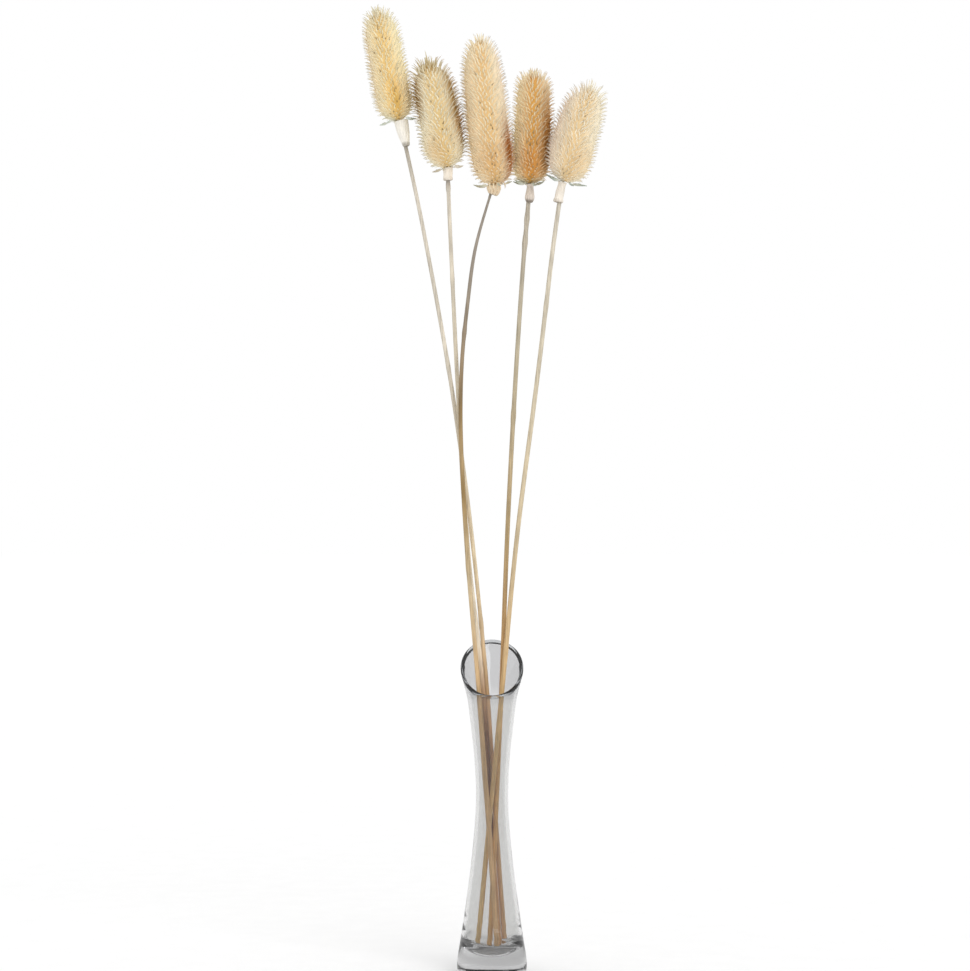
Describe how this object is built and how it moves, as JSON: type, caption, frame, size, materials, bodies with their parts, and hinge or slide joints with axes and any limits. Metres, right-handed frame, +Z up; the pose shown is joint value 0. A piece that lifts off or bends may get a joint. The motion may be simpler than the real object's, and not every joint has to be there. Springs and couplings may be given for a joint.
{
  "type": "dried teasel heads in a glass bud vase",
  "caption": "Slim clear glass bud vase with a slanted mouth, holding spiny dried teasel heads on thin natural sticks.",
  "frame": {"origin": "middle of the vase's flat foot, on the surface that it stands on", "axes": "+Z up along the vase's axis, -Y towards the low lip of the slanted mouth, +X along the fan of heads"},
  "size_m": [0.1845, 0.0556, 0.7275],
  "materials": {
    "clear_glass": "polished",
    "natural_stick": "matte",
    "bleached_stalk": "matte",
    "dried_bract": "matte",
    "head_cream_yellow": "matte",
    "head_olive_beige": "matte",
    "head_peach_cream": "matte",
    "head_golden_tan": "matte",
    "head_pale_ivory": "matte"
  },
  "bodies": {
    "root": {"vase": "clear_glass", "stick_1": "natural_stick", "stalk_1": "bleached_stalk", "head_1": "head_cream_yellow", "bract_1_1": "dried_bract", "bract_1_2": "dried_bract", "bract_1_3": "dried_bract", "bract_1_4": "dried_bract", "bract_1_5": "dried_bract", "stick_2": "natural_stick", "stalk_2": "bleached_stalk", "head_2": "head_olive_beige", "bract_2_1": "dried_bract", "bract_2_2": "dried_bract", "bract_2_3": "dried_bract", "bract_2_4": "dried_bract", "stick_3": "natural_stick", "stalk_3": "bleached_stalk", "head_3": "head_peach_cream", "bract_3_1": "dried_bract", "bract_3_2": "dried_bract", "bract_3_3": "dried_bract", "bract_3_4": "dried_bract", "bract_3_5": "dried_bract", "stick_4": "natural_stick", "stalk_4": "bleached_stalk", "head_4": "head_golden_tan", "bract_4_1": "dried_bract", "bract_4_2": "dried_bract", "bract_4_3": "dried_bract", "bract_4_4": "dried_bract", "bract_4_5": "dried_bract", "stick_5": "natural_stick", "stalk_5": "bleached_stalk", "head_5": "head_pale_ivory", "bract_5_1": "dried_bract", "bract_5_2": "dried_bract", "bract_5_3": "dried_bract", "bract_5_4": "dried_bract", "bract_5_5": "dried_bract"}
  },
  "joints": []
}
